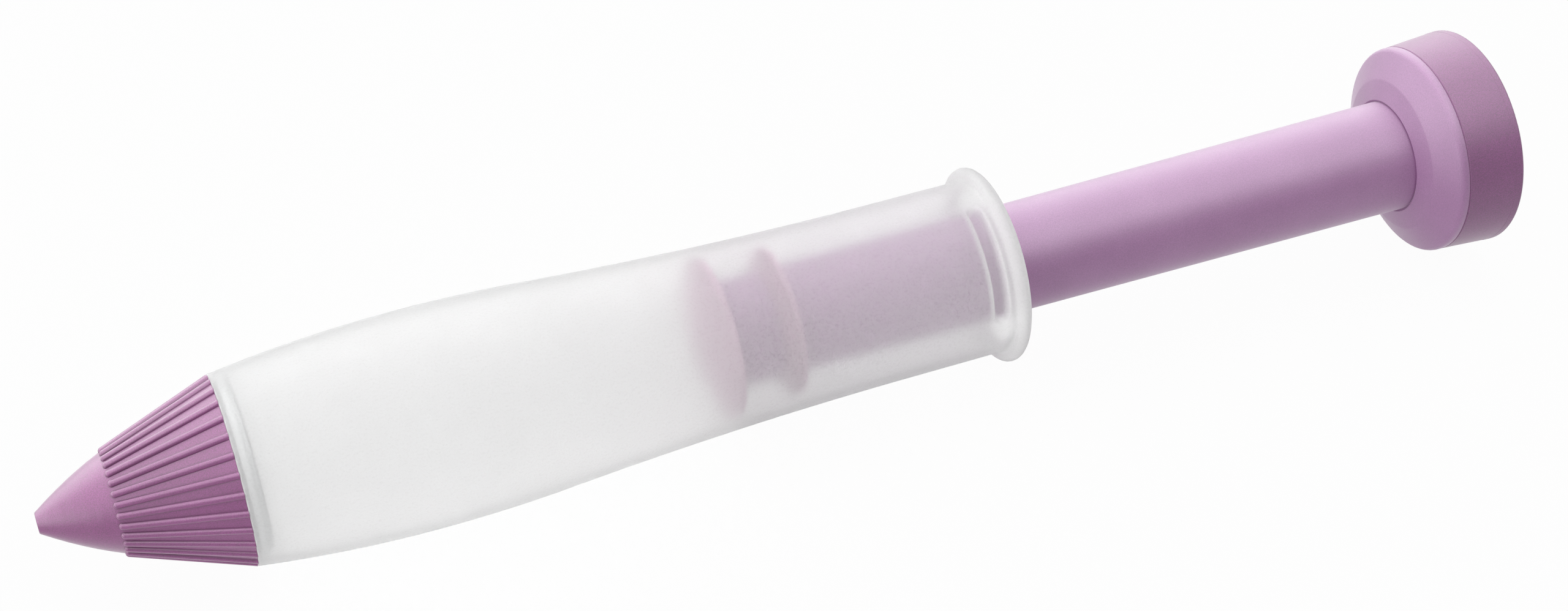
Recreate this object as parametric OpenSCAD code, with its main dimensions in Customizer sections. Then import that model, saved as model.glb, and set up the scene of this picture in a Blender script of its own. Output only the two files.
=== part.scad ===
// Icing pen: a soft translucent barrel, a ribbed screw-on nozzle and a plunger pushed by the thumb.
// Every piece is drawn along Z with the barrel's front face at z = 0: the nozzle points to -Z and the
// plunger's head to +Z. The module lay() then lays the pen along X with its nozzle to -X.
// Dimensions are in millimetres. The plunger is drawn pulled back, ready to press.

/* [Barrel] */
// Length from the front face to the end of the rim
barrel_l = 117.4; // [115:0.2:121]
// Outside radius of the straight rear end
rear_r = 13.4; // [12.4:0.1:14.6]
// Wall of the straight rear end; the bore is straight, so the wall is thicker further forward
rear_wall = 1.2; // [1:0.1:1.4]
// Wall at the front face
nose_wall = 1.8; // [1.5:0.1:2.4]
// Wall at the belly
belly_wall = 3.8; // [3:0.1:4.6]
// Distance of the belly from the front face
belly_at = 29; // [26:0.5:33]
// Distance from the front face to where the straight rear end starts
rear_at = 100; // [92:1:104]
// Share of the S curve that is the belly's convex arc; the rest is the waist's concave arc
shoulder_share = 0.24; // [0.15:0.01:0.5]
// Height of the rim bead at the mouth over the straight rear end
rim_h = 1.8; // [1.4:0.1:2.4]
// Thickness of the rim bead
rim_t = 1.9; // [1.6:0.1:2.4]

/* [Plunger stop] */
// Width of each pressed-in groove
stop_w = 2.4; // [2:0.1:2.8]
// How far each groove is pressed into the wall
stop_depth = 1.5; // [1.3:0.1:1.7]
// Distance of the grooves from the end of the rim
stop_back = 4.2; // [4:0.1:4.8]
// Angle between the centres of each groove's rounded ends
stop_arc = 72; // [50:1:90]

/* [Neck insert] */
// Thickness of the disc that plugs the barrel's front
plug_t = 2.4; // [2.2:0.1:3]
// Step from the barrel's bore in to the root of the neck's thread
neck_step = 3.5; // [3.3:0.1:4]
// Length of the neck in front of the barrel
neck_l = 6; // [5:0.1:6.4]
// Wall of the neck round its passage
neck_wall = 1.7; // [1.4:0.1:2.2]
// Thickness of the sealing washer in front of the neck
washer_t = 1.2; // [1:0.1:1.4]

/* [Nozzle] */
// Length from the base to the tip
nozzle_l = 27.4; // [26.4:0.2:30]
// Outside radius of the tip
tip_r = 1.5; // [1.4:0.05:1.8]
// Radius of the outlet hole
outlet_r = 1; // [0.6:0.05:1.05]
// Length of the straight outlet hole
outlet_l = 3; // [2:0.1:4]
// Outward bulge of the smooth tip between the ribs and the outlet
tip_bulge = 0.35; // [0.1:0.01:0.45]
// Length of the ribbed cone
rib_l = 17; // [15.5:0.5:18.5]
// Half angle of the ribbed cone
cone_angle = 20.2; // [19.2:0.1:20.6]
// Number of grip ribs
rib_count = 30; // [24:1:34]
// Radius of a rib's rounded top
rib_r = 0.55; // [0.45:0.05:0.65]
// Height of a rib over the cone
rib_h = 0.48; // [0.35:0.01:0.5]

/* [Plunger] */
// Distance of the front seal's rear face from the barrel's front face, as drawn
seal_at = 73; // [68:0.5:78]
// Height of the front seal's dome
dome_h = 2.6; // [2.2:0.1:3.6]
// Radius of the rod at the seal
rod_front_r = 7.95; // [7.8:0.05:8.3]
// Radius of the rod at the flange
rod_rear_r = 8.8; // [8.6:0.05:9.2]
// Radius of the hollow in the rod
rod_bore_r = 6; // [5.4:0.1:6.2]
// Distance between the rear faces of the front seal and the rear ring
ring_pitch = 10; // [9:0.5:12]
// Clearance of the rear ring's lip in the bore
ring_gap = 1; // [0.8:0.1:1.2]
// Length of rod between the front seal and the flange
rod_l = 113.2; // [108:0.2:118]

/* [Head] */
// Thickness of the flange at the rod, where its sloping front starts
flange_t = 5; // [4.4:0.1:5.6]
// Radius of the soft turn in the flange's front, where it gets steeper
face_turn_r = 12.2; // [11.4:0.1:13]
// How far the flange's front slopes back from the rod to this turn
face_turn_back = 1.2; // [1:0.1:1.5]
// Thickness of the flange at its edge
flange_edge_t = 1.2; // [1.1:0.1:1.6]
// Outside radius of the flange
flange_r = 16.6; // [16.2:0.05:17.2]
// Rounding of the flange's front edge
flange_edge_r = 1.2; // [0.5:0.1:1.3]
// Length of the end cap
cap_l = 9.3; // [8:0.1:11]
// How much wider the end cap is at its far end
cap_flare = 0.6; // [0.3:0.05:0.8]

/* [Hidden] */
$fn = 96;

// Overlap of pieces that are joined or cut, so that no faces coincide
eps = 0.05;

// Clearances of pieces pushed together for good, of faces screwed together, of the seal in its bore and
// of the nozzle's socket round the root of the neck's thread
fit_gap = 0.05;
seat_gap = 0.05;
seal_gap = 0.08;
thread_gap = 0.6;

// Barrel
bore_r = rear_r - rear_wall;
nose_r = bore_r + nose_wall;
belly_r = bore_r + belly_wall;
rim_r = rear_r + rim_h;
nose_drop = belly_r - nose_r;
curve_drop = belly_r - rear_r;
turn_at = belly_at + (rear_at - belly_at) * shoulder_share;
curve_step = 2;
rim_edge_r = rim_t / 2;
rim_fillet_r = 0.5;
mouth_chamfer = 0.4;
nose_chamfer = 0.25;
stop_at = barrel_l - stop_back;
stop_floor_r = rear_r - stop_depth;
stop_bead_r = stop_floor_r - rear_wall;
stop_foot_w = stop_w + 2 * rear_wall;
stop_crest_share = 0.6;
stop_crest_w = stop_w * stop_crest_share;
bead_arc = stop_arc + 2 * atan2(stop_foot_w / 2, bore_r);
// As the pen lies, one groove faces up and to the front and the other is opposite
stop_turns = [225, 45];

// Neck insert: a snap ring on the plug sits in a groove of the soft barrel
neck_r = bore_r - neck_step;
neck_bore_r = neck_r - neck_wall;
snap_h = 0.6;
snap_w = 1;
snap_at = plug_t / 2;
neck_edge = 0.4;

// Nozzle
cone_base_r = nose_r - rib_h;
cone_top_r = cone_base_r - rib_l * tan(cone_angle);
socket_r = neck_r + thread_gap;
nozzle_seat = neck_l + washer_t + 2 * seat_gap;
nozzle_wall = 1.8;
tip_l = nozzle_l - rib_l;
tip_steps = 6;
tip_edge_r = 0.3;
passage_mid_r = cone_top_r - nozzle_wall;
rib_sink = rib_r - rib_h;

// Plunger
seal_r = bore_r - seal_gap;
seal_land = 1;
seal_lip = 0.4;
dome_foot_r = seal_r - seal_lip;
dome_r = (pow(dome_foot_r, 2) + pow(dome_h, 2)) / (2 * dome_h);
boss_r = 4.6;
boss_l = 1;
boss_head_r = 6.2;
boss_head_l = 1;
ring_r = bore_r - ring_gap;
ring_at = seal_at + ring_pitch;
ring_l = 2.4;
ring_land = 0.8;
ring_groove = 0.6;
rod_front_wall = 5;
flange_at = seal_at + rod_l;

// Head
seam_at = flange_at + flange_t;
crease = 0.35;
face_slope = face_turn_back / (face_turn_r - rod_rear_r);
face_turn_round = 2;
head_edge_r = 0.4;
round_steps = 5;
seam_chamfer = 0.15;
cap_wall = 2.6;
plug_l = 12;
plug_snap_h = 0.3;
plug_snap_w = 1.2;
cap_top_r = flange_r + cap_flare;
cap_end = seam_at + cap_l;

// Middle of the pen's length and height of its axis when it lies on a table
pen_mid = (cap_end - nozzle_l) / 2;
axis_h = cap_top_r;

// Outside radius of the barrel: an arc swells from the nose to the belly, and two arcs that meet with the
// same slope make the S from the belly to the straight rear end
function barrel_r(z) =
    z < belly_at ? belly_r - nose_drop * pow(1 - z / belly_at, 2)
    : z < turn_at ? belly_r - curve_drop * shoulder_share * pow((z - belly_at) / (turn_at - belly_at), 2)
    : rear_r + curve_drop * (1 - shoulder_share) * pow((rear_at - z) / (rear_at - turn_at), 2);

// Radius of the rod, which has a little draft
function rod_r(z) = rod_front_r + (rod_rear_r - rod_front_r) * (z - seal_at) / rod_l;

// Radius of the smooth tip at a share u of its length from the ribs to the outlet
function tip_wall_r(u) = cone_top_r + (tip_r - cone_top_r) * u + 4 * tip_bulge * u * (1 - u);

// Points of the arc of radius r that rounds the corner b between straight lines to a and to c
function rounded(a, b, c, r) =
    let (to_a = (a - b) / norm(a - b),
         to_c = (c - b) / norm(c - b),
         half = acos(to_a * to_c) / 2,
         sweep = 180 - 2 * half,
         centre = b + (to_a + to_c) / norm(to_a + to_c) * r / sin(half),
         start = b + to_a * r / tan(half) - centre,
         end = b + to_c * r / tan(half) - centre)
    [for (i = [0 : round_steps])
        let (turn = sweep * i / round_steps)
        centre + (start * sin(sweep - turn) + end * sin(turn)) / sin(sweep)];

// Lays a piece drawn along Z on its side, nozzle to -X
module lay() {
    translate([-pen_mid, 0, axis_h])
        rotate([0, 90, 0])
            children();
}

// Washer-shaped or tubular solid between two heights
module tube(r_out, r_in, z0, z1) {
    translate([0, 0, z0])
        difference() {
            cylinder(h = z1 - z0, r = r_out);
            translate([0, 0, -eps])
                cylinder(h = z1 - z0 + 2 * eps, r = r_in);
        }
}

// Half outline of the barrel's outside
module barrel_outline() {
    polygon(concat([[0, 0], [nose_r - nose_chamfer, 0]],
                   [for (z = [nose_chamfer : curve_step : rear_at]) [barrel_r(z), z]],
                   [[rear_r, rear_at], [rear_r, barrel_l - rim_edge_r], [0, barrel_l - rim_edge_r]]));
    rim_outline();
}

// Half outline of the rounded rim with the fillet at its foot
module rim_outline() {
    rim_foot = barrel_l - rim_t;
    translate([0, rim_foot]) {
        square([rim_r - rim_edge_r, rim_t]);
        translate([rim_r - rim_edge_r, rim_edge_r])
            circle(rim_edge_r);
    }
    translate([rear_r, rim_foot - rim_fillet_r])
        difference() {
            square(rim_fillet_r);
            translate([rim_fillet_r, 0])
                circle(rim_fillet_r);
        }
}

// Half outline of the room inside the barrel, with the snap groove and the lead-in at the mouth
module bore_outline() {
    translate([0, -eps])
        square([bore_r, barrel_l + 2 * eps]);
    translate([0, snap_at - snap_w / 2 - fit_gap])
        square([bore_r + snap_h + fit_gap, snap_w + 2 * fit_gap]);
    translate([0, barrel_l])
        polygon([[0, -bore_r - mouth_chamfer], [bore_r + 2 * mouth_chamfer, mouth_chamfer],
                 [0, mouth_chamfer]]);
}

// One groove's cutter: a ring sector with rounded ends
module stop_groove() {
    cut_l = 2 * stop_depth;
    rotate([0, 0, -stop_arc / 2])
        rotate_extrude(angle = stop_arc)
            translate([stop_floor_r, stop_at - stop_w / 2])
                square([cut_l, stop_w]);
    for (end = [-0.5, 0.5])
        rotate([0, 0, end * stop_arc])
            translate([stop_floor_r, 0, stop_at])
                rotate([0, 90, 0])
                    cylinder(h = cut_l, r = stop_w / 2);
}

// Bead that one groove raises on the inside, with sloping sides
module stop_bead() {
    rotate([0, 0, -bead_arc / 2])
        rotate_extrude(angle = bead_arc)
            translate([0, stop_at])
                polygon([[stop_bead_r, -stop_crest_w / 2], [stop_bead_r, stop_crest_w / 2],
                         [bore_r, stop_foot_w / 2], [bore_r + eps, stop_foot_w / 2],
                         [bore_r + eps, -stop_foot_w / 2], [bore_r, -stop_foot_w / 2]]);
}

module squeeze_barrel() {
    color([0.90, 0.91, 0.91, 0.55])
        difference() {
            union() {
                rotate_extrude()
                    difference() {
                        barrel_outline();
                        bore_outline();
                    }
                for (turn = stop_turns)
                    rotate([0, 0, turn])
                        stop_bead();
            }
            for (turn = stop_turns)
                rotate([0, 0, turn])
                    stop_groove();
        }
}

module neck_insert() {
    plug_r = bore_r - fit_gap;
    snap_r = bore_r + snap_h;
    snap_front = snap_at - snap_w / 2;
    snap_back = snap_at + snap_w / 2;
    color([0.93, 0.94, 0.94, 0.7])
        rotate_extrude()
            polygon([[neck_bore_r, -neck_l], [neck_r - neck_edge, -neck_l], [neck_r, neck_edge - neck_l],
                     [neck_r, 0], [plug_r, 0], [plug_r, snap_front], [snap_r, snap_front],
                     [snap_r, snap_back], [plug_r, snap_back], [plug_r, plug_t], [neck_bore_r, plug_t]]);
}

module nozzle_washer() {
    washer_back = -neck_l - seat_gap;
    color([0.85, 0.85, 0.86])
        tube(socket_r - seat_gap, neck_bore_r, washer_back - washer_t, washer_back);
}

// Half outline of the nozzle's wall: a cone under the ribs and a slightly bulging tip with a rounded edge
module nozzle_outline() {
    tip = [for (i = [0 : tip_steps - 1]) [tip_wall_r(i / tip_steps), -rib_l - tip_l * i / tip_steps]];
    tip_middle = [0, -nozzle_l];
    polygon(concat([[0, -seat_gap], [cone_base_r - seat_gap * tan(cone_angle), -seat_gap]], tip,
                   rounded(tip[tip_steps - 1], [tip_r, -nozzle_l], tip_middle, tip_edge_r), [tip_middle]));
}

// Half outline of the nozzle's inside: thread socket, washer seat, tapering passage and outlet
module nozzle_room() {
    polygon([[0, 0], [socket_r, 0], [socket_r, -nozzle_seat], [neck_bore_r, -nozzle_seat],
             [passage_mid_r, -rib_l], [outlet_r, outlet_l - nozzle_l], [outlet_r, -nozzle_l - eps],
             [0, -nozzle_l - eps]]);
}

// One grip rib: a rod with a round front end, sunk in the cone along one of its straight lines
module rib() {
    slant_l = rib_l / cos(cone_angle) - rib_r;
    translate([cone_base_r, 0, 0])
        rotate([0, 180 + cone_angle, 0])
            translate([rib_sink, 0, 0])
                rotate_extrude() {
                    translate([0, -2 * rib_r])
                        square([rib_r, slant_l + 2 * rib_r]);
                    intersection() {
                        translate([0, slant_l])
                            circle(rib_r);
                        translate([0, slant_l - eps])
                            square(2 * rib_r);
                    }
                }
}

module nozzle() {
    color([0.66, 0.43, 0.63])
        difference() {
            union() {
                rotate_extrude()
                    nozzle_outline();
                for (i = [0 : rib_count - 1])
                    rotate([0, 0, 360 / rib_count * i])
                        rib();
            }
            rotate_extrude()
                nozzle_room();
            translate([0, 0, -seat_gap])
                cylinder(h = 4 * rib_r, r = 2 * nose_r);
        }
}

// Half outline of the rod and its flange, solid: the flange's front slopes back from a crease round the rod,
// and more steeply from its soft turn on
module rod_outline() {
    crease_foot = [rod_rear_r, flange_at + crease];
    crease_edge = [rod_rear_r + crease, flange_at + crease * face_slope];
    face_turn = [face_turn_r, flange_at + face_turn_back];
    flange_edge = [flange_r, seam_at - flange_edge_t];
    seam_edge = [flange_r, seam_at - seam_chamfer];
    polygon(concat([[0, seal_at], [rod_front_r, seal_at], crease_foot, crease_edge],
                   rounded(crease_edge, face_turn, flange_edge, face_turn_round),
                   rounded(face_turn, flange_edge, seam_edge, flange_edge_r),
                   [seam_edge, [flange_r - seam_chamfer, seam_at], [0, seam_at]]));
    translate([0, seal_at - boss_l])
        square([boss_r, boss_l + eps]);
    translate([0, seal_at - boss_l - boss_head_l])
        square([boss_head_r, boss_head_l + eps]);
}

module plunger_rod() {
    groove_front = ring_at - ring_l;
    color([0.72, 0.60, 0.73])
        rotate_extrude()
            difference() {
                rod_outline();
                translate([0, seal_at + rod_front_wall])
                    square([rod_bore_r, seam_at]);
                translate([0, seam_at - plug_l / 2 - plug_snap_w / 2])
                    square([rod_bore_r + plug_snap_h, plug_snap_w]);
                translate([rod_r(groove_front) - ring_groove, groove_front])
                    square([rod_front_r, ring_l]);
            }
}

module front_seal() {
    color([0.80, 0.66, 0.74])
        rotate_extrude()
            difference() {
                union() {
                    translate([0, seal_at - seal_land])
                        square([seal_r, seal_land]);
                    intersection() {
                        translate([0, seal_at - seal_land - dome_h + dome_r])
                            circle(dome_r);
                        translate([0, seal_at - seal_land - dome_h])
                            square([seal_r, dome_h + eps]);
                    }
                }
                translate([0, seal_at - boss_l])
                    square([boss_r + fit_gap, boss_l + eps]);
                translate([0, seal_at - boss_l - boss_head_l - fit_gap])
                    square([boss_head_r + fit_gap, boss_head_l + 2 * fit_gap]);
            }
}

module rear_ring() {
    groove_front = ring_at - ring_l;
    groove_r = rod_r(groove_front) - ring_groove;
    lip_foot_r = rod_r(groove_front);
    color([0.80, 0.66, 0.74])
        rotate_extrude()
            polygon([[groove_r + fit_gap, groove_front + fit_gap], [lip_foot_r, groove_front + fit_gap],
                     [ring_r, ring_at - ring_land], [ring_r, ring_at - fit_gap],
                     [groove_r + fit_gap, ring_at - fit_gap]]);
}

// Half outline of the cap's outside with its rounded far edge
module cap_outline() {
    polygon([[0, seam_at], [flange_r - seam_chamfer, seam_at], [flange_r, seam_at + seam_chamfer],
             [cap_top_r, cap_end - head_edge_r], [0, cap_end - head_edge_r]]);
    translate([0, cap_end - head_edge_r - eps])
        square([cap_top_r - head_edge_r, head_edge_r + eps]);
    translate([cap_top_r - head_edge_r, cap_end - head_edge_r])
        circle(head_edge_r);
}

module end_cap() {
    room_l = cap_l - cap_wall;
    color([0.60, 0.43, 0.58])
        rotate_extrude()
            difference() {
                union() {
                    difference() {
                        cap_outline();
                        translate([rod_bore_r - fit_gap, seam_at - eps])
                            square([flange_r - cap_wall - rod_bore_r, room_l + eps]);
                    }
                    translate([0, seam_at - plug_l])
                        square([rod_bore_r - fit_gap, plug_l + eps]);
                    translate([0, seam_at - plug_l / 2 - plug_snap_w / 2 + fit_gap])
                        square([rod_bore_r + plug_snap_h - fit_gap, plug_snap_w - 2 * fit_gap]);
                }
                translate([0, seam_at - plug_l - eps])
                    square([rod_bore_r - cap_wall, plug_l + room_l + eps]);
            }
}

lay() squeeze_barrel();
lay() neck_insert();
lay() nozzle_washer();
lay() nozzle();
lay() plunger_rod();
lay() front_seal();
lay() rear_ring();
lay() end_cap();
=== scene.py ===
"""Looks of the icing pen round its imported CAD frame: a frosted barrel, a satin plunger and a ribbed nozzle.

The pen lies along X with its nozzle to -X. A place along it is given by s, its distance behind the barrel's
front face, and a place round it by its angle from straight up, turning to the front (-Y). Outlines are lists
of (s, radius) points. Sizes of the pen are in millimetres, as in the CAD source. Mesh points and the stage
are in metres.
"""
import math

import bpy
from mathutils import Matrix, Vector


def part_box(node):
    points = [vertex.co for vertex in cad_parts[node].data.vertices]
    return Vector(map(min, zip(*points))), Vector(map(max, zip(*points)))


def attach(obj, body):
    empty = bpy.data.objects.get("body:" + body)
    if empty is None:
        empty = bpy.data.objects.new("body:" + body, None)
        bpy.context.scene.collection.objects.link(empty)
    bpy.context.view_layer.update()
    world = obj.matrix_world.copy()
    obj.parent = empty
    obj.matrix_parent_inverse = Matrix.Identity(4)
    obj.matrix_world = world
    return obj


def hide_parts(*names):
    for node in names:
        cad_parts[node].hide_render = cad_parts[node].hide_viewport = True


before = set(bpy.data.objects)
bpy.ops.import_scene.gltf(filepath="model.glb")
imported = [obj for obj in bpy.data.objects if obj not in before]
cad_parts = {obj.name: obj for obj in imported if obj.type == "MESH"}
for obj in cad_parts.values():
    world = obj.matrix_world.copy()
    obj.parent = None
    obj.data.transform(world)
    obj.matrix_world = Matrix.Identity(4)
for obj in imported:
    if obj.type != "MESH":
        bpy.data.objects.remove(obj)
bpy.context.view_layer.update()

MM = 0.001
barrel_low, barrel_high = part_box("squeeze_barrel")
FRONT_X = barrel_low.x
AXIS_Z = (barrel_low.z + barrel_high.z) / 2

# Barrel and the plug of the neck insert in it, as in the CAD source
BARREL_L = 117.4
BORE_R = 12.2
NOSE_R = 14.0
BELLY_R = 16.0
BELLY_S = 29.0
REAR_R = 13.4
REAR_S = 100.0
SHOULDER_SHARE = 0.24
RIM_R = 15.2
RIM_T = 1.9
GROOVE_S = 113.2
GROOVE_W = 2.4
GROOVE_DEPTH = 1.5
GROOVE_ARC = math.radians(72)
GROOVE_ANGLES = (math.radians(45), math.radians(225))
SNAP_S = 1.2
SNAP_W = 1.1
SNAP_R = 12.85
MOUTH_CHAMFER = 0.4
PLUG_T = 2.4

# Skin of the barrel: full wall at the nose and the mouth, thin between them
SKIN_T = 0.3
NOSE_WALL_L = 4.0
MOUTH_WALL_L = 2.0
MOUTH_THINNING_L = 1.0

# Rounded edges of the barrel and its grooves
NOSE_EDGE_L = 0.5
NOSE_ROUND = 0.2
BORE_ROUND = 0.1
RIM_ROUND = RIM_T * 0.49
RIM_FOOT_ROUND = 0.5
RIM_FOOT_ROOM = 0.8
MOUTH_ROUND = 0.12
GROOVE_FLOOR = GROOVE_W * 0.26
GROOVE_EDGE = GROOVE_W * 0.56

# Thick look of the wall beside the grooves and at the rim
THICK_BAND = GROOVE_W * 0.4
THICK_FADE = GROOVE_W / 2
THICK_RIM_SHARE = 0.5
THICK_RIM_FADE = 0.4

# Mesh of the turned pieces
COLUMNS = 240
OUTSIDE_STEP = 1.2
BORE_STEP = 1.0
GROOVE_STEP = 0.16

# Screw thread: its ridges stand on the neck and the socket of the CAD source, in the play between them
NECK_R = 8.7
NECK_CREST_R = 9.15
SOCKET_R = 9.3
SOCKET_CREST_R = 8.85
THREAD_PITCH = 3.0
THREAD_START = -4.9
THREAD_END = -1.0
THREAD_FOOT_HALF = 0.5
THREAD_TOP_HALF = 0.22
THREAD_SUNK_SHARE = 0.1
THREAD_COLUMNS = 72
THREAD_FADE_COLUMNS = 8
THREAD_END_SHARE = 0.05

# Grey ring at the back edge of the neck insert, a painted shade line
SHADE_RING_SUNK = 0.1
SHADE_RING_L = 0.25
SHADE_RING_H = 0.6
SHADE_RING_GAP = 0.1
SHADE_RING_EDGE_L = 0.05
SHADE_RING_EDGE_GAP = 0.06
SHADE_RING_BACK_GAP = 0.2

# Parting line of the end cap, which narrows a little from its far edge
PARTING_BACK = 1.25
PARTING_DRAFT = 0.09
PARTING_FOOT_HALF = 0.2
PARTING_TOP_HALF = 0.05
PARTING_H = 0.05
PARTING_SUNK = 0.15

# Width of the valleys that the painted shade darkens
SHADE_VALLEY_W = 1.6

# Noise scales, in cells per metre
CLOUDS = 130
GRAINS = 6000
SPECKS = 2600
RELIEF = 3400
WALL_CLOUDS = 90
WALL_RELIEF = 2800
WALL_DUST = 900

# Stage: sizes in metres, and the brightness of the floor and the world
FLOOR_HALF = 3.0
FLOOR_DROP = 0.02 * MM
FLOOR_GLOW = 0.96
WORLD_LIGHT = 0.6
WORLD_SEEN = 1.0
CARD_HALF = 1.2
CARD_Y = -0.8
CARD_H = 0.45

# Camera, fitted to the round edges of the photographed pen, placed from the axis at the barrel's front face
CAMERA_S = -23.056
CAMERA_Y = -271.01
CAMERA_UP = 280.287
CAMERA_AIM = (0.26506, 0.67387, -0.68967)
CAMERA_LENS = 62.276
CAMERA_SENSOR = 36


def place(s, r, angle):
    """Point of the frame, in metres, at s along the pen, r from its axis and that angle round it."""
    return Vector((FRONT_X + s * MM, -r * MM * math.sin(angle), AXIS_Z + r * MM * math.cos(angle)))


def smooth(low, high, value):
    """Rises from 0 at low to 1 at high with no corner."""
    t = min(1.0, max(0.0, (value - low) / (high - low)))
    return t * t * (3 - 2 * t)


def steps(start, end, step):
    """Evenly spaced places from start to end, both included, about a step apart."""
    count = max(1, round(abs(end - start) / step))
    return [start + (end - start) * i / count for i in range(count + 1)]


def along(places, radius):
    """Outline points at places along the pen, with the radius that radius(s) gives."""
    return [Vector((s, radius(s))) for s in places]


def rounded(corners, segments=5):
    """Outline through corners (s, r, rounding): each corner with a rounding becomes an arc of that radius."""
    outline = []
    for i, (s, r, rounding) in enumerate(corners):
        corner = Vector((s, r))
        if not rounding:
            outline.append(corner)
            continue
        before = (Vector(corners[i - 1][:2]) - corner).normalized()
        after = (Vector(corners[(i + 1) % len(corners)][:2]) - corner).normalized()
        half = before.angle(after) / 2
        centre = corner + (before + after).normalized() * rounding / math.sin(half)
        start = corner + before * rounding / math.tan(half) - centre
        end = corner + after * rounding / math.tan(half) - centre
        sweep = math.pi - 2 * half
        for k in range(segments + 1):
            turn = sweep * k / segments
            outline.append(centre + (start * math.sin(sweep - turn) + end * math.sin(turn)) / math.sin(sweep))
    return outline


def lathe(outline, shape=None):
    """Points and faces of a closed outline turned round the axis.

    shape(s, r, angle) may change the radius of each point.
    """
    points = []
    for s, r in outline:
        for c in range(COLUMNS):
            angle = math.tau * c / COLUMNS
            points.append(place(s, shape(s, r, angle) if shape else r, angle))
    faces = []
    rows = len(outline)
    for row in range(rows):
        ahead = (row + 1) % rows
        for c in range(COLUMNS):
            d = (c + 1) % COLUMNS
            faces.append((row * COLUMNS + c, row * COLUMNS + d, ahead * COLUMNS + d, ahead * COLUMNS + c))
    return points, faces


def add_piece(name, points, faces, body, material):
    """Smooth mesh object from frame points in metres that rides on a body."""
    mesh = bpy.data.meshes.new(name)
    mesh.from_pydata(points, [], faces)
    mesh.shade_smooth()
    mesh.materials.append(material)
    piece = bpy.data.objects.new(name, mesh)
    bpy.context.scene.collection.objects.link(piece)
    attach(piece, body)
    return piece


def new_material(name):
    """Node material with its output and shader ready: returns material, nodes, links and the shader."""
    material = bpy.data.materials.new(name)
    material.use_nodes = True
    nodes, links = material.node_tree.nodes, material.node_tree.links
    return material, nodes, links, nodes["Principled BSDF"]


def put(links, socket, value):
    """Sets a socket to a number or colour, or links it to another socket."""
    if isinstance(value, bpy.types.NodeSocket):
        links.new(value, socket)
    else:
        socket.default_value = value


def noise(nodes, links, scale, detail=2.0):
    """Factor of a noise texture in frame coordinates, scale in cells per metre."""
    where = nodes.new("ShaderNodeTexCoord")
    texture = nodes.new("ShaderNodeTexNoise")
    texture.inputs["Scale"].default_value = scale
    texture.inputs["Detail"].default_value = detail
    links.new(where.outputs["Object"], texture.inputs["Vector"])
    return texture.outputs["Fac"]


def spread(nodes, links, value, from_low, from_high, to_low, to_high):
    """Value mapped from one range to another, clamped; the ends of a range may be sockets too."""
    node = nodes.new("ShaderNodeMapRange")
    for socket, end in (("Value", value), ("From Min", from_low), ("From Max", from_high),
                        ("To Min", to_low), ("To Max", to_high)):
        put(links, node.inputs[socket], end)
    return node.outputs["Result"]


def blend_colours(nodes, links, factor, first, second):
    """Colour between two colours, each an RGB tuple or another colour socket."""
    node = nodes.new("ShaderNodeMix")
    node.data_type = "RGBA"
    links.new(factor, node.inputs["Factor"])
    colour_inputs = [socket for socket in node.inputs if socket.type == "RGBA"]
    for socket, colour in zip(colour_inputs, (first, second)):
        put(links, socket, (*colour, 1) if isinstance(colour, tuple) else colour)
    return [socket for socket in node.outputs if socket.type == "RGBA"][0]


def bump(nodes, links, shader, height, distance, strength):
    """Fine relief of that height, in millimetres, on the shader's normal."""
    node = nodes.new("ShaderNodeBump")
    node.inputs["Distance"].default_value = distance * MM
    node.inputs["Strength"].default_value = strength
    links.new(height, node.inputs["Height"])
    links.new(node.outputs["Normal"], shader.inputs["Normal"])


def linear(red, green, blue):
    """Linear colour of an sRGB colour written in 0 to 255."""
    def channel(value):
        value /= 255
        return value / 12.92 if value <= 0.04045 else ((value + 0.055) / 1.055) ** 2.4
    return channel(red), channel(green), channel(blue)


def scaled(colour, share):
    """Colour made lighter or darker by a share."""
    return tuple(channel * share for channel in colour)


def plastic(name, light, dark, roughness, gloss, gloss_roughness, relief, specks, grit=0.05, valley_shade_colour=None):
    """Moulded plastic: cloudy tint between two colours, darker specks and a fine relief.

    The tint varies by the share grit from grain to grain, and painted shade darkens it towards a shade colour
    in narrow valleys.
    The gloss is the bending of light in a coat on top.
    """
    material, nodes, links, shader = new_material(name)
    cloud = spread(nodes, links, noise(nodes, links, CLOUDS), 0.35, 0.65, 0, 1)
    pale, deep = [blend_colours(nodes, links, cloud, scaled(light, share), scaled(dark, share))
                  for share in (1 + grit, 1 - grit)]
    grains = spread(nodes, links, noise(nodes, links, GRAINS), 0.3, 0.7, 0, 1)
    tint = blend_colours(nodes, links, grains, pale, deep)
    # Painted shade: occlusion darkens the tint towards a shade colour in narrow valleys
    if valley_shade_colour:
        valley_occlusion = nodes.new("ShaderNodeAmbientOcclusion")
        valley_occlusion.only_local = True
        valley_occlusion.samples = 8
        valley_occlusion.inputs["Distance"].default_value = SHADE_VALLEY_W * MM
        shaded_share = spread(nodes, links, valley_occlusion.outputs["AO"], 0.55, 0.95, 1, 0)
        tint = blend_colours(nodes, links, shaded_share, tint, valley_shade_colour)
    speck = spread(nodes, links, noise(nodes, links, SPECKS, 3), 0.70, 0.78, 0, specks)
    links.new(blend_colours(nodes, links, speck, tint, scaled(dark, 0.5)), shader.inputs["Base Color"])
    fine = noise(nodes, links, RELIEF, 3)
    links.new(spread(nodes, links, fine, 0.3, 0.7, roughness - 0.06, roughness + 0.06),
              shader.inputs["Roughness"])
    shader.inputs["IOR"].default_value = 1.5
    shader.inputs["Coat Weight"].default_value = 1.0
    shader.inputs["Coat IOR"].default_value = gloss
    shader.inputs["Coat Roughness"].default_value = gloss_roughness
    shader.inputs["Sheen Weight"].default_value = 0.4
    shader.inputs["Sheen Roughness"].default_value = 0.4
    bump(nodes, links, shader, fine, relief, 0.6)
    return material


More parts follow.
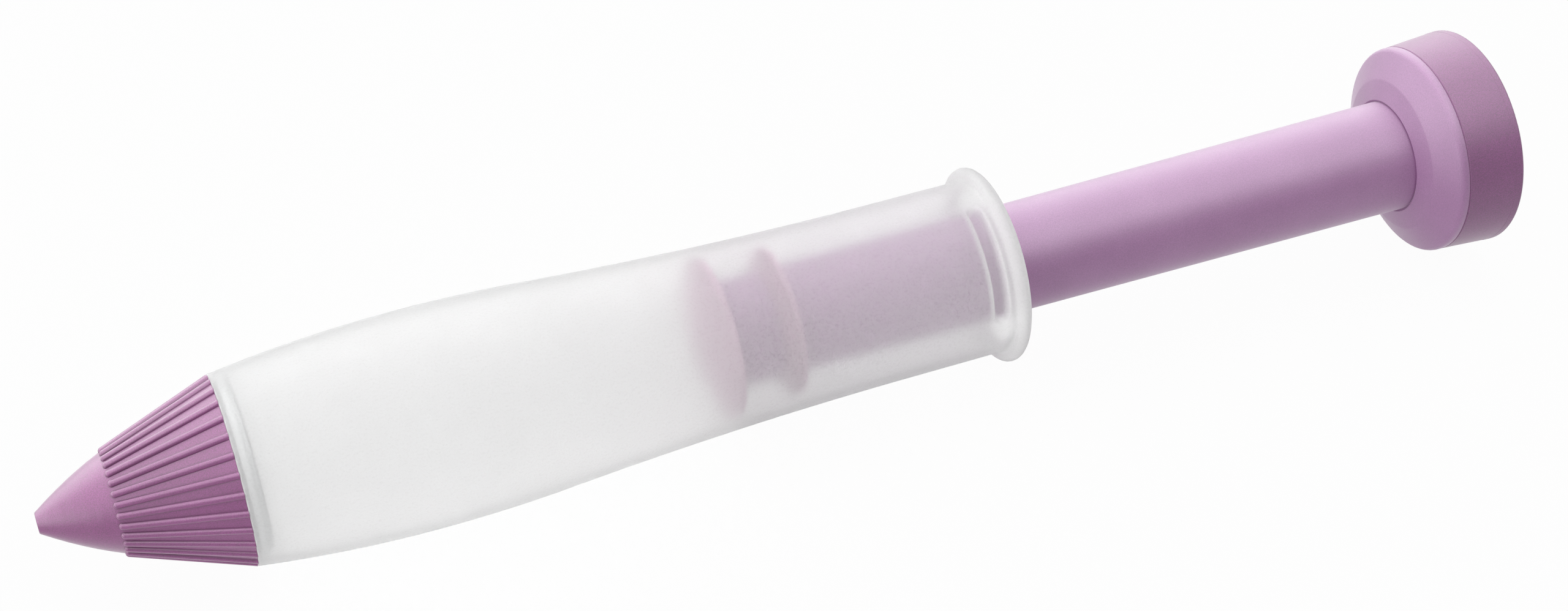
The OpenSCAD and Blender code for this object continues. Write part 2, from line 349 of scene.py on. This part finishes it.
def frosted(name, clear_share, bending, roughness, relief, thick_share=None):
    """Frosted translucent plastic: a clear share that blurs, a milky share that spreads light, a fine grain.

    With a thick_share, the clear share varies from grain to grain, is lower where the wall is seen along its
    surface, and falls to thick_share where the mesh's attribute "thick" is 1.
    """
    material, nodes, links, shader = new_material(name)
    cloud = spread(nodes, links, noise(nodes, links, WALL_CLOUDS), 0.3, 0.7, 0, 1)
    tint = blend_colours(nodes, links, cloud, linear(253, 253, 253), linear(250, 250, 250))
    fine = noise(nodes, links, WALL_RELIEF, 3)
    grain = spread(nodes, links, fine, 0.5, 0.75, 0, 0.35)
    grained = blend_colours(nodes, links, grain, tint, linear(222, 222, 222))
    dust = spread(nodes, links, noise(nodes, links, WALL_DUST, 4), 0.76, 0.8, 0, 0.5)
    links.new(blend_colours(nodes, links, dust, grained, linear(150, 150, 150)), shader.inputs["Base Color"])
    links.new(spread(nodes, links, fine, 0.3, 0.7, roughness - 0.05, roughness + 0.05),
              shader.inputs["Roughness"])
    if thick_share is None:
        shader.inputs["Transmission Weight"].default_value = clear_share
    else:
        thick = nodes.new("ShaderNodeAttribute")
        thick.attribute_name = "thick"
        facing = nodes.new("ShaderNodeLayerWeight")
        grainy = spread(nodes, links, fine, 0.3, 0.7, clear_share - 0.1, clear_share + 0.1)
        thin_share = spread(nodes, links, facing.outputs["Facing"], 0.35, 0.8, grainy, clear_share * 0.6)
        links.new(spread(nodes, links, thick.outputs["Fac"], 0, 1, thin_share, thick_share),
                  shader.inputs["Transmission Weight"])
    shader.inputs["IOR"].default_value = bending
    shader.inputs["Subsurface Weight"].default_value = 1.0
    shader.inputs["Subsurface Radius"].default_value = (1, 1, 1)
    shader.inputs["Subsurface Scale"].default_value = 0.25 * MM
    shader.inputs["Sheen Weight"].default_value = 0.4
    shader.inputs["Sheen Roughness"].default_value = 0.4
    shader.inputs["Coat Weight"].default_value = 0.02
    shader.inputs["Coat Roughness"].default_value = 0.4
    bump(nodes, links, shader, fine, relief, 1.0)
    return material


def barrel_radius(s):
    """Outside radius of the barrel: an arc to the belly, then two arcs that make the S to the rear end."""
    turn_s = BELLY_S + (REAR_S - BELLY_S) * SHOULDER_SHARE
    if s < BELLY_S:
        return BELLY_R - (BELLY_R - NOSE_R) * (1 - s / BELLY_S) ** 2
    if s < turn_s:
        return BELLY_R - (BELLY_R - REAR_R) * SHOULDER_SHARE * ((s - BELLY_S) / (turn_s - BELLY_S)) ** 2
    if s < REAR_S:
        return REAR_R + (BELLY_R - REAR_R) * (1 - SHOULDER_SHARE) * ((REAR_S - s) / (REAR_S - turn_s)) ** 2
    return REAR_R


def lining_radius(s):
    """Inside radius of the skin: close to the outside, and the true bore at the nose and the mouth."""
    mouth_wall_s = BARREL_L - MOUTH_WALL_L
    depth = smooth(PLUG_T, NOSE_WALL_L, s) * (1 - smooth(mouth_wall_s - MOUTH_THINNING_L, mouth_wall_s, s))
    return BORE_R + (barrel_radius(s) - SKIN_T - BORE_R) * depth


def past_groove(r, angle):
    """How far round the barrel a point lies beyond the end of the nearer groove's straight part."""
    off = min(abs((angle - middle + math.pi) % math.tau - math.pi) for middle in GROOVE_ANGLES)
    return max(0.0, off - GROOVE_ARC / 2) * r


def barrel_shape(s, r, angle):
    """Radius of the barrel's wall with the two grooves pressed in; the bore follows as a bead."""
    distance = math.hypot(s - GROOVE_S, past_groove(r, angle))
    return r - GROOVE_DEPTH * (1 - smooth(GROOVE_FLOOR, GROOVE_EDGE, distance))


def thickness(s, r, angle):
    """How thick the plastic looks, from 0 on the plain wall to 1 beside the grooves, where the bead adds."""
    off_edge = abs(abs(s - GROOVE_S) - GROOVE_EDGE)
    side = (1 - smooth(0, THICK_BAND, off_edge)) * (1 - smooth(0, THICK_FADE, past_groove(r, angle)))
    foot_s = BARREL_L - RIM_T
    rim = THICK_RIM_SHARE * smooth(foot_s - THICK_RIM_FADE, foot_s, s)
    return max(side, rim)


def build_barrel(outer, inner):
    """The squeeze barrel with its pressed stops, rounded rim and snap groove for the neck insert."""
    foot_s = BARREL_L - RIM_T
    near_s = GROOVE_S - GROOVE_W
    snap_front = SNAP_S - SNAP_W / 2
    snap_back = SNAP_S + SNAP_W / 2
    outside = along(steps(NOSE_EDGE_L, near_s, OUTSIDE_STEP)
                    + steps(near_s, foot_s - RIM_FOOT_ROOM, GROOVE_STEP)[1:], barrel_radius)
    rim = rounded([(near_s, REAR_R, 0), (foot_s, REAR_R, RIM_FOOT_ROUND), (foot_s, RIM_R, RIM_ROUND),
                   (BARREL_L, RIM_R, RIM_ROUND), (BARREL_L, BORE_R + MOUTH_CHAMFER, MOUTH_ROUND),
                   (BARREL_L - MOUTH_CHAMFER, BORE_R, 0)])[1:]
    bore = along(steps(foot_s, near_s, GROOVE_STEP) + steps(near_s, snap_back, BORE_STEP)[1:], lining_radius)
    snap = [Vector((snap_back, SNAP_R)), Vector((snap_front, SNAP_R)), Vector((snap_front, BORE_R))]
    nose = rounded([(snap_front, BORE_R, 0), (0, BORE_R, BORE_ROUND), (0, NOSE_R, NOSE_ROUND),
                    (NOSE_EDGE_L, barrel_radius(NOSE_EDGE_L), 0)])[1:-1]
    skin = outside + rim
    lining = bore + snap
    outline = skin + lining + nose
    points, faces = lathe(outline, barrel_shape)
    barrel = add_piece("barrel_skin", points, faces, "barrel", outer)
    thick = barrel.data.attributes.new("thick", "FLOAT", "POINT")
    thick.data.foreach_set("value", [thickness(s, r, math.tau * c / COLUMNS)
                                     for s, r in outline for c in range(COLUMNS)])
    barrel.data.materials.append(inner)
    lining_start = len(skin) * COLUMNS
    lining_end = lining_start + len(lining) * COLUMNS
    for face in barrel.data.polygons[lining_start:lining_end]:
        face.material_index = 1
    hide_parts("squeeze_barrel")


def build_thread(name, body, material, root_r, crest_r, phase):
    """Right-hand screw ridge with sloping sides and faded ends, from root_r out or in to crest_r."""
    sunk_r = root_r + THREAD_SUNK_SHARE * (root_r - crest_r)
    count = round((THREAD_END - THREAD_START) / THREAD_PITCH * THREAD_COLUMNS)
    points = []
    for i in range(count + 1):
        angle = phase + math.tau * i / THREAD_COLUMNS
        s = THREAD_START + THREAD_PITCH * i / THREAD_COLUMNS
        grown = smooth(0, THREAD_FADE_COLUMNS, i) * smooth(0, THREAD_FADE_COLUMNS, count - i)
        top_r = sunk_r + (crest_r - sunk_r) * max(THREAD_END_SHARE, grown)
        for across, r in ((-THREAD_FOOT_HALF, sunk_r), (-THREAD_TOP_HALF, top_r),
                          (THREAD_TOP_HALF, top_r), (THREAD_FOOT_HALF, sunk_r)):
            points.append(place(s + across, r, angle))
    faces = [(3, 2, 1, 0), tuple(4 * count + k for k in range(4))]
    for i in range(count):
        for k in range(4):
            faces.append((4 * i + k, 4 * i + (k + 1) % 4, 4 * i + 4 + (k + 1) % 4, 4 * i + 4 + k))
    # On a ridge that stands out, the corners run the other way round
    if crest_r > root_r:
        faces = [face[::-1] for face in faces]
    add_piece(name, points, faces, body, material)


def build_neck_shade_ring(material):
    """Thin grey ring round the back edge of the neck insert, seen through the wall as a painted shade line.
    """
    front_s = PLUG_T - SHADE_RING_SUNK
    back_s = PLUG_T + SHADE_RING_L
    points, faces = lathe([(front_s, BORE_R - SHADE_RING_H), (front_s, BORE_R - SHADE_RING_GAP),
                           (back_s - SHADE_RING_EDGE_L, BORE_R - SHADE_RING_EDGE_GAP), (back_s, BORE_R - SHADE_RING_BACK_GAP)])
    add_piece("neck_shade_ring", points, faces, "barrel", material)


def build_parting_line(material):
    """Hairline ridge round the end cap, a little before its far edge, where its mould halves met."""
    cap_low, cap_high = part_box("end_cap")
    s = (cap_high.x - FRONT_X) / MM - PARTING_BACK
    r = (cap_high.z - cap_low.z) / 2 / MM - PARTING_DRAFT
    points, faces = lathe([(s - PARTING_FOOT_HALF, r - PARTING_SUNK), (s - PARTING_TOP_HALF, r + PARTING_H),
                           (s + PARTING_TOP_HALF, r + PARTING_H), (s + PARTING_FOOT_HALF, r - PARTING_SUNK)])
    add_piece("cap_parting_line", points, faces, "plunger", material)


def paint(node, material):
    """Gives a carried-over CAD node its material."""
    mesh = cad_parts[node].data
    mesh.materials.clear()
    mesh.materials.append(material)


def seen_directly(nodes, links):
    """1 for rays from the camera, in a reflection or through clear plastic, and 0 for light on surfaces."""
    path = nodes.new("ShaderNodeLightPath")
    total = path.outputs["Is Camera Ray"]
    for name in ("Is Glossy Ray", "Is Transmission Ray"):
        either = nodes.new("ShaderNodeMath")
        either.operation = "MAXIMUM"
        links.new(total, either.inputs[0])
        links.new(path.outputs[name], either.inputs[1])
        total = either.outputs["Value"]
    return total


def add_sheet(name, corners, material):
    """Flat object with four corners."""
    mesh = bpy.data.meshes.new(name)
    mesh.from_pydata(corners, [], [(0, 1, 2, 3)])
    mesh.materials.append(material)
    sheet = bpy.data.objects.new(name, mesh)
    bpy.context.scene.collection.objects.link(sheet)
    return sheet


def build_floor():
    """White floor that keeps a soft shadow."""
    material, nodes, links, shader = new_material("white_floor")
    shader.inputs["Base Color"].default_value = (0.9, 0.9, 0.9, 1)
    shader.inputs["Roughness"].default_value = 0.9
    shader.inputs["Specular IOR Level"].default_value = 0.0
    glow = nodes.new("ShaderNodeEmission")
    mix = nodes.new("ShaderNodeMixShader")
    links.new(spread(nodes, links, seen_directly(nodes, links), 0, 1, 0, FLOOR_GLOW), mix.inputs["Fac"])
    links.new(shader.outputs["BSDF"], mix.inputs[1])
    links.new(glow.outputs["Emission"], mix.inputs[2])
    links.new(mix.outputs["Shader"], nodes["Material Output"].inputs["Surface"])
    floor = add_sheet("floor", [(-FLOOR_HALF, -FLOOR_HALF, 0), (FLOOR_HALF, -FLOOR_HALF, 0),
                                (FLOOR_HALF, FLOOR_HALF, 0), (-FLOOR_HALF, FLOOR_HALF, 0)], material)
    floor.location.z = -FLOOR_DROP


def build_world():
    """White world, brighter where it is seen than as a light."""
    world = bpy.data.worlds.new("studio")
    bpy.context.scene.world = world
    world.use_nodes = True
    nodes, links = world.node_tree.nodes, world.node_tree.links
    strength = spread(nodes, links, seen_directly(nodes, links), 0, 1, WORLD_LIGHT, WORLD_SEEN)
    links.new(strength, nodes["Background"].inputs["Strength"])
    nodes["Background"].inputs["Color"].default_value = (1, 1, 1, 1)


def build_card():
    """Dark card in front of the pen that shows only in its gloss, so that its front keeps a deep colour."""
    material, _, _, shader = new_material("dark_card")
    shader.inputs["Base Color"].default_value = (0.03, 0.03, 0.03, 1)
    card = add_sheet("front_card", [(-CARD_HALF, CARD_Y, 0), (CARD_HALF, CARD_Y, 0),
                                    (CARD_HALF, CARD_Y, CARD_H), (-CARD_HALF, CARD_Y, CARD_H)], material)
    card.visible_camera = card.visible_diffuse = card.visible_transmission = card.visible_shadow = False


def add_softbox(name, location, length, width, power, only=None):
    """Rectangular soft light facing the pen: for all, or only for gloss or for what is inside the barrel."""
    light = bpy.data.lights.new(name, "AREA")
    light.shape = "RECTANGLE"
    light.size = length
    light.size_y = width
    light.energy = power
    softbox = bpy.data.objects.new(name, light)
    softbox.location = location
    softbox.rotation_euler = (Vector((0, 0, AXIS_Z)) - softbox.location).to_track_quat("-Z", "Y").to_euler()
    softbox.visible_diffuse = only is None
    softbox.visible_glossy = only != "inside"
    softbox.visible_transmission = only == "inside"
    bpy.context.scene.collection.objects.link(softbox)


def build_camera():
    """Camera with the place, direction and view of the photograph."""
    data = bpy.data.cameras.new("camera")
    data.sensor_width = CAMERA_SENSOR
    data.lens = CAMERA_LENS
    data.clip_start = 0.01
    camera = bpy.data.objects.new("camera", data)
    camera.location = (FRONT_X + CAMERA_S * MM, CAMERA_Y * MM, AXIS_Z + CAMERA_UP * MM)
    camera.rotation_euler = Vector(CAMERA_AIM).to_track_quat("-Z", "Y").to_euler()
    bpy.context.scene.collection.objects.link(camera)
    bpy.context.scene.camera = camera


# The pen
build_barrel(frosted("frosted_barrel", clear_share=0.5, bending=1.09, roughness=0.94, relief=0.02,
                     thick_share=0.12),
             frosted("smooth_bore", clear_share=1.0, bending=1.005, roughness=0.3, relief=0.003))
lilac = plastic("lilac_satin", linear(151, 98, 149), linear(146, 92, 144), roughness=0.5,
                gloss=1.75, gloss_roughness=0.6, relief=0.01, specks=0.15, grit=0.14)
mauve = plastic("mauve_matte", linear(119, 52, 111), linear(113, 46, 105), roughness=0.55,
                gloss=1.6, gloss_roughness=0.6, relief=0.03, specks=0.5, grit=0.3)
# The nozzle gets painted shade in the valleys between its ribs
orchid = plastic("orchid_nozzle", linear(136, 58, 123), linear(128, 51, 115), roughness=0.5,
                 gloss=1.55, gloss_roughness=0.42, relief=0.035, specks=0.4, grit=0.25,
                 valley_shade_colour=linear(94, 31, 83))
rose = plastic("rose_seal", linear(190, 150, 176), linear(182, 142, 169), roughness=0.5,
               gloss=1.55, gloss_roughness=0.6, relief=0.01, specks=0.1)
milky = plastic("milky_neck", linear(236, 238, 238), linear(228, 230, 230), roughness=0.35,
                gloss=1.55, gloss_roughness=0.4, relief=0.01, specks=0.05)
pale_grey = plastic("grey_washer", linear(214, 214, 216), linear(206, 206, 208), roughness=0.55,
                    gloss=1.55, gloss_roughness=0.6, relief=0.01, specks=0.05)
# Grey of the ring that paints the shade line at the neck insert's back edge
grey = plastic("grey_shade_ring", linear(140, 141, 142), linear(132, 133, 134), roughness=0.5,
               gloss=1.5, gloss_roughness=0.5, relief=0.01, specks=0.05)
for node, material in (("plunger_rod", lilac), ("end_cap", mauve), ("nozzle", orchid), ("front_seal", rose),
                       ("rear_ring", rose), ("neck_insert", milky), ("nozzle_washer", pale_grey)):
    paint(node, material)
build_parting_line(mauve)
# Grey ring that paints the shade line at the back edge of the neck insert
build_neck_shade_ring(grey)
build_thread("neck_thread", "barrel", milky, NECK_R, NECK_CREST_R, phase=0)
build_thread("socket_thread", "nozzle", orchid, SOCKET_R, SOCKET_CREST_R, phase=math.pi)

# The stage
build_floor()
build_world()
build_card()
add_softbox("top_softbox", (0, 0.3, 0.7), length=0.9, width=0.6, power=0.9)
add_softbox("inside_softbox", (0, 0.35, 0.62), length=0.9, width=0.6, power=5.0, only="inside")
add_softbox("back_gloss", (0, 0.5, 0.42), length=1.4, width=1.1, power=14.5, only="gloss")
add_softbox("front_gloss", (0, -0.2, 0.6), length=1.4, width=0.5, power=6.0, only="gloss")
add_softbox("left_gloss", (-1.0, 0.35, 0.3), length=0.9, width=0.5, power=5.0, only="gloss")
add_softbox("left_softbox", (-1.0, -0.3, 0.15), length=0.9, width=0.5, power=4.2)
build_camera()
bpy.context.scene.view_settings.view_transform = "Standard"
